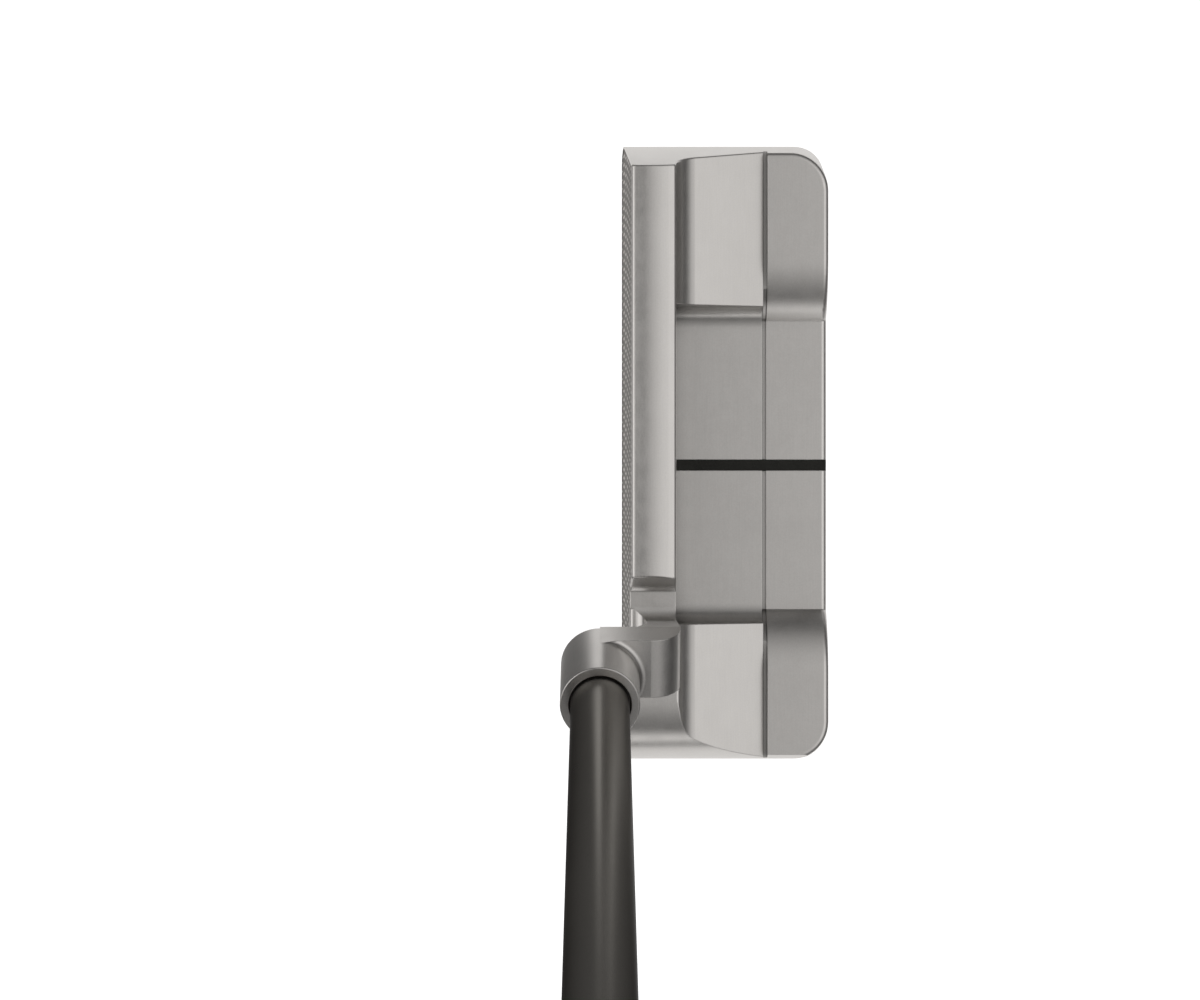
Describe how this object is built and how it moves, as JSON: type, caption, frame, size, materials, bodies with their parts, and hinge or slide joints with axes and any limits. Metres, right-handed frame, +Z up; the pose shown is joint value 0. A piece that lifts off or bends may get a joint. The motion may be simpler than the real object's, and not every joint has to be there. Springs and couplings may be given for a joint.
{
  "type": "mallet putter",
  "caption": "Right-handed wide-body mallet putter: milled head with sight line and plumber's neck hosel, tapered black shaft and wrapped grip.",
  "frame": {"origin": "on the sole under the sight line, half way from the leading edge to the rear edge", "axes": "+X from toe to heel, face towards -Y, +Y to the rear, +Z up from the ground"},
  "size_m": [0.3958, 0.055, 0.8391],
  "materials": {
    "milled_steel": "fine bead-blasted and lightly milled stainless steel, satin",
    "sight_paint": "matt black enamel in a milled groove",
    "weight_steel": "turned stainless steel",
    "seal_rubber": "matt black rubber",
    "plate_aluminium": "fine bead-blasted anodised aluminium",
    "screw_steel": "plain stainless steel",
    "adhesive": "cured dark epoxy",
    "shaft_black": "black coating over polished steel, satin gloss",
    "plug_plastic": "soft natural plastic",
    "tape": "crepe paper tape",
    "grip_foam": "closed-cell foam",
    "grip_polyurethane": "embossed black polyurethane, slightly tacky",
    "grip_moulding": "moulded black rubber"
  },
  "bodies": {
    "root": {"head": "milled_steel", "sight_line_fill": "sight_paint", "toe_weight": "weight_steel", "heel_weight": "weight_steel", "weight_seals": "seal_rubber", "sole_plate": "plate_aluminium", "sole_plate_screws": "screw_steel", "hosel_epoxy": "adhesive", "shaft": "shaft_black", "shaft_tip_plug": "plug_plastic", "grip_tape": "tape", "grip_underlisting": "grip_foam", "grip_skin": "grip_polyurethane", "grip_mouth_ring": "grip_moulding", "grip_butt_cap": "grip_moulding"}
  },
  "joints": []
}
